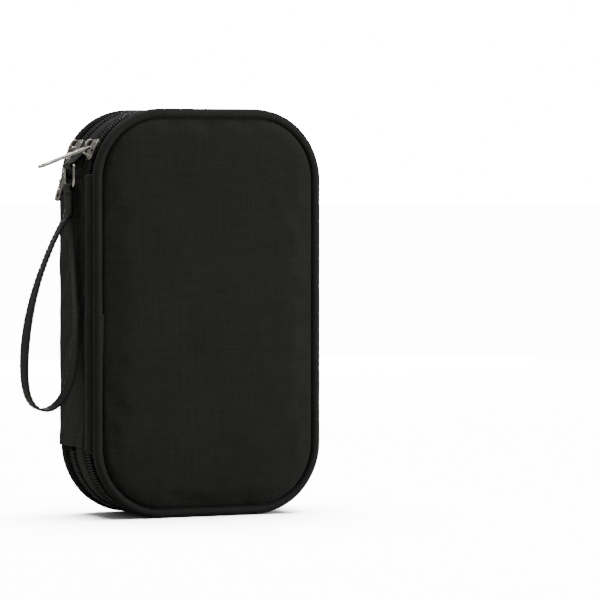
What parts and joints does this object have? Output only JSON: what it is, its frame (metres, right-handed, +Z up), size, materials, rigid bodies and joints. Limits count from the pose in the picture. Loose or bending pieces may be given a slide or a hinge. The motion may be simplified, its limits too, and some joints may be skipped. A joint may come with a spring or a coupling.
{
  "type": "cable organizer pouch",
  "caption": "Flat zip pouch with two padded covers hinged on a middle leaf, inner mesh pockets, zip sliders with pulls and a wrist strap.",
  "frame": {"origin": "middle of the case's footprint, on the surface that it stands on", "axes": "+X from the spine to the zip edge, -Y out of the front cover, +Z up along the spine"},
  "size_m": [0.1403, 0.049, 0.19],
  "materials": {
    "oxford": "fine matte weave",
    "tape": "woven zip tape",
    "coil": "satin nylon coil",
    "webbing": "folded and edge-stitched strap",
    "lining": "smooth grey lining",
    "mesh": "grey mesh",
    "elastic": "ribbed elastic",
    "board": "stiffener board",
    "foam": "padding",
    "cord": "piping cord",
    "metal": "polished gunmetal nickel"
  },
  "bodies": {
    "middle_leaf": {"leaf_band": "oxford", "leaf_board": "board", "leaf_lining_front": "lining", "leaf_lining_back": "lining", "spine_panel": "oxford", "ring_tab": "webbing", "leaf_pocket_1": "mesh", "leaf_pocket_2": "mesh", "leaf_pocket_3": "mesh", "pocket_binding_1": "elastic", "pocket_binding_2": "elastic", "pocket_binding_3": "elastic", "front_leaf_tape": "tape", "front_leaf_coil": "coil", "front_hinge_fabric": "oxford", "front_spine_lining": "lining", "back_leaf_tape": "tape", "back_leaf_coil": "coil", "back_hinge_fabric": "oxford", "back_spine_lining": "lining"},
    "front_cover": {"front_cover_fabric": "oxford", "front_cover_foam": "foam", "front_cover_lining": "lining", "front_piping": "oxford", "front_piping_cord": "cord", "front_side_wall": "oxford", "front_cover_tape": "tape", "front_tape_end": "tape", "front_cover_coil": "coil", "front_coil_end": "coil", "front_cover_pocket": "mesh", "front_pocket_hem": "elastic", "front_elastic_strap": "elastic"},
    "back_cover": {"back_cover_fabric": "oxford", "back_cover_foam": "foam", "back_cover_lining": "lining", "back_piping": "oxford", "back_piping_cord": "cord", "back_side_wall": "oxford", "back_cover_tape": "tape", "back_tape_end": "tape", "back_cover_coil": "coil", "back_coil_end": "coil", "back_cover_pocket": "lining", "back_pocket_hem": "elastic"},
    "front_slider": {"front_slider": "metal"},
    "front_pull": {"front_pull": "metal"},
    "back_slider": {"back_slider": "metal"},
    "back_pull": {"back_pull": "metal"},
    "d_ring": {"d_ring": "metal"},
    "wrist_strap": {"strap_end": "webbing", "strap_loop": "webbing"}
  },
  "joints": [
    {"name": "front_cover_hinge", "type": "hinge", "parent": "middle_leaf", "child": "front_cover", "pos_m": [-0.06, -0.012, 0.095], "axis": [0, 0, -1], "range_deg": [0, 95], "deforming": ["front_hinge_fabric", "front_spine_lining", "front_tape_end", "front_coil_end"]},
    {"name": "back_cover_hinge", "type": "hinge", "parent": "middle_leaf", "child": "back_cover", "pos_m": [-0.06, 0.012, 0.095], "axis": [0, 0, 1], "range_deg": [0, 95], "deforming": ["back_hinge_fabric", "back_spine_lining", "back_tape_end", "back_coil_end"]},
    {"name": "front_slider_run", "type": "hinge", "parent": "middle_leaf", "child": "front_slider", "pos_m": [-0.02375, -0.01, 0.1565], "axis": [0, 1, 0], "range_deg": [0, 53]},
    {"name": "back_slider_run", "type": "hinge", "parent": "middle_leaf", "child": "back_slider", "pos_m": [-0.02375, 0.01, 0.1565], "axis": [0, 1, 0], "range_deg": [0, 53]},
    {"name": "front_pull_swing", "type": "hinge", "parent": "front_slider", "child": "front_pull", "pos_m": [-0.0553, -0.01, 0.17189], "axis": [0, 1, 0], "range_deg": [-53, 120]},
    {"name": "back_pull_swing", "type": "hinge", "parent": "back_slider", "child": "back_pull", "pos_m": [-0.0553, 0.01, 0.17189], "axis": [0, 1, 0], "range_deg": [-2, 172]},
    {"name": "d_ring_swing", "type": "hinge", "parent": "middle_leaf", "child": "d_ring", "pos_m": [-0.0607, 0, 0.1635], "axis": [0, 1, 0], "range_deg": [0, 90]},
    {"name": "wrist_strap_swing", "type": "hinge", "parent": "d_ring", "child": "wrist_strap", "pos_m": [-0.0607, 0, 0.153], "axis": [0, 1, 0], "range_deg": [0, 20]}
  ]
}
